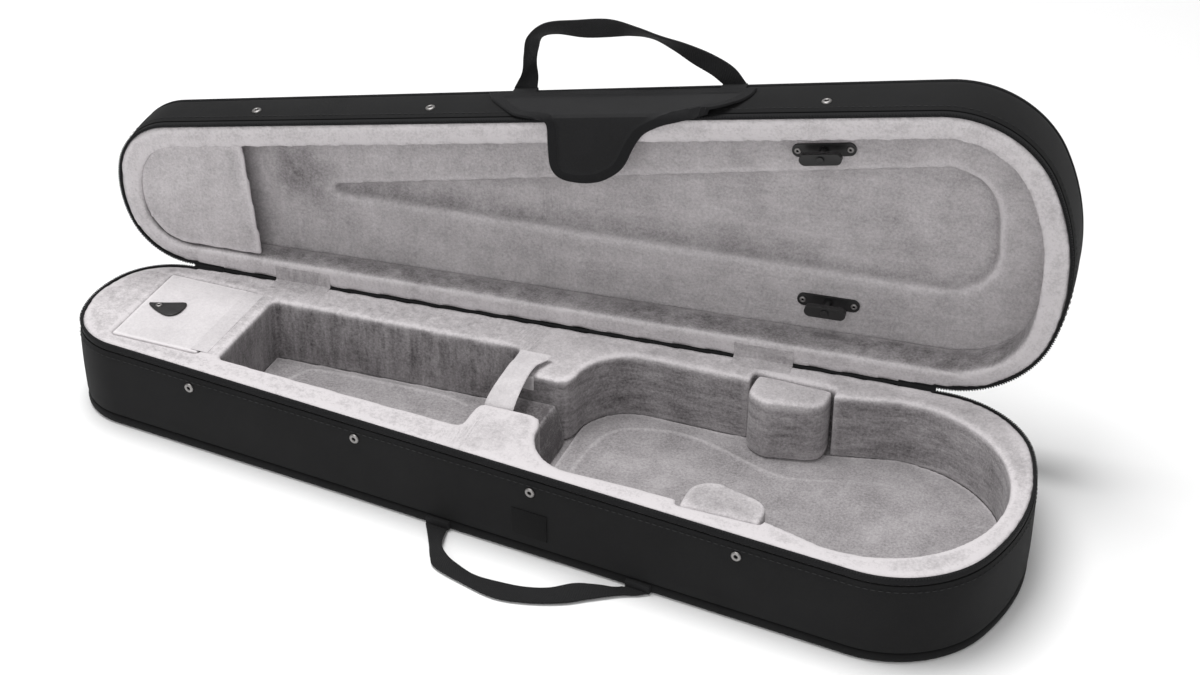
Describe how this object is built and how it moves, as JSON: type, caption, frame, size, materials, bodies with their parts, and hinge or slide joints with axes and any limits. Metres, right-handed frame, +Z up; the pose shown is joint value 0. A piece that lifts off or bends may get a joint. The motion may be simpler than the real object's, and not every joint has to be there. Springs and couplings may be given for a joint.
{
  "type": "violin case",
  "caption": "Long tapered clamshell case that holds a violin and bows: hinged lid, fitted padded wells, small lidded box, neck strap, turning bow holders, two webbing handles, closure flap.",
  "frame": {"origin": "centre of the case's underside, on the plane it rests on", "axes": "+X along the case toward the wide body end, +Y toward the hinge side, +Z up; the lid is stored open"},
  "size_m": [0.7941, 0.345, 0.3407],
  "materials": {
    "woven_cover": "coarse woven nylon, matt black",
    "zip_tape": "tight woven tape with coil teeth",
    "piping": "folded binding over cord",
    "webbing": "ribbed webbing",
    "plush_lining": "short brushed plush, grey",
    "pale_plush": "short brushed plush, pale grey",
    "hook_tape": "hook tape",
    "pull_leather": "smooth black leather",
    "nickel": "satin nickel",
    "zip_metal": "dark nickel",
    "holder_plastic": "black moulded plastic"
  },
  "bodies": {
    "base": {"base_bottom_panel": "woven_cover", "base_side_cover": "woven_cover", "base_zip_tape": "zip_tape", "base_floor_foam": "plush_lining", "base_wall_foam": "plush_lining", "base_handle_anchors": "webbing", "base_rivets": "nickel", "spine_strip_base": "woven_cover", "body_floor_pad": "plush_lining", "neck_floor_pad": "plush_lining", "neck_rest_pad": "plush_lining", "accessory_floor_pad": "plush_lining", "back_bout_block": "plush_lining", "front_bout_block": "plush_lining", "lining_tabs": "plush_lining", "accessory_lid_hinge": "pale_plush", "neck_strap_root": "pale_plush", "neck_strap_keeper": "pale_plush", "hook_patch": "hook_tape", "zip_sliders": "zip_metal"},
    "lid": {"lid_side_cover": "woven_cover", "lid_zip_tape": "zip_tape", "spine_strip_lid": "woven_cover", "lid_piping": "piping", "lid_top_cover": "woven_cover", "lid_panel_foam": "plush_lining", "lid_wall_foam": "plush_lining", "lid_pocket_panel": "plush_lining", "holder_plates": "holder_plastic", "holder_posts": "holder_plastic", "holder_screws": "nickel", "lid_rivets": "nickel", "flap_root": "woven_cover", "lid_handle_anchors": "webbing"},
    "accessory_lid": {"accessory_lid": "pale_plush", "pull_rivet": "nickel"},
    "pull_tab": {"pull_tab": "pull_leather"},
    "neck_strap": {"neck_strap": "pale_plush"},
    "base_handle": {"base_handle": "webbing"},
    "lid_handle": {"lid_handle": "webbing"},
    "spinner_upper": {"spinner_upper": "holder_plastic"},
    "spinner_lower": {"spinner_lower": "holder_plastic"},
    "flap_tongue": {"flap_tongue": "woven_cover"},
    "zip_puller_scroll": {"zip_puller_scroll": "zip_metal"},
    "zip_puller_body": {"zip_puller_body": "zip_metal"}
  },
  "joints": [
    {"name": "lid_hinge", "type": "hinge", "parent": "base", "child": "lid", "pos_m": [0, 0.09629, 0.0764], "axis": [0.9962, 0.0865, 0], "range_deg": [0, 88]},
    {"name": "flap_fold", "type": "hinge", "parent": "lid", "child": "flap_tongue", "pos_m": [0.02492, 0.09244, 0.2766], "axis": [0.9818, 0.0793, 0.1723], "range_deg": [-95, 0]},
    {"name": "accessory_lid_hinge", "type": "hinge", "parent": "base", "child": "accessory_lid", "pos_m": [-0.269, 0, 0.076], "axis": [0, -1, 0], "range_deg": [-95, 0]},
    {"name": "pull_tab_swivel", "type": "hinge", "parent": "accessory_lid", "child": "pull_tab", "pos_m": [-0.331, -0.0015, 0.0763], "axis": [0, 0, 1], "continuous": true},
    {"name": "neck_strap_fold", "type": "hinge", "parent": "base", "child": "neck_strap", "pos_m": [-0.019, -0.0242, 0.07], "axis": [-1, 0, 0], "range_deg": [-80, 0]},
    {"name": "base_handle_hinge", "type": "hinge", "parent": "base", "child": "base_handle", "pos_m": [0.04443, -0.10477, 0.0016], "axis": [0.9962, -0.0865, 0], "range_deg": [-80, 0]},
    {"name": "lid_handle_hinge", "type": "hinge", "parent": "lid", "child": "lid_handle", "pos_m": [0.02331, 0.13842, 0.28207], "axis": [0.9818, 0.0793, 0.1723], "range_deg": [-60, 75]},
    {"name": "spinner_upper_turn", "type": "hinge", "parent": "lid", "child": "spinner_upper", "pos_m": [0.1821, 0.13908, 0.25744], "axis": [0.1032, -0.9941, -0.0334], "continuous": true},
    {"name": "spinner_lower_turn", "type": "hinge", "parent": "lid", "child": "spinner_lower", "pos_m": [0.19205, 0.14472, 0.12041], "axis": [0.1032, -0.9941, -0.0334], "continuous": true},
    {"name": "puller_scroll_swing", "type": "hinge", "parent": "base", "child": "zip_puller_scroll", "pos_m": [-0.31715, 0.07386, 0.0685], "axis": [-0.9962, -0.0865, 0], "range_deg": [-70, 0]},
    {"name": "puller_body_swing", "type": "hinge", "parent": "base", "child": "zip_puller_body", "pos_m": [0.26487, 0.12442, 0.0685], "axis": [-0.9962, -0.0865, 0], "range_deg": [-70, 0]}
  ],
  "couplings": [
    {"joint": "flap_fold", "follows": "lid_hinge", "ratio": -1.0795}
  ]
}
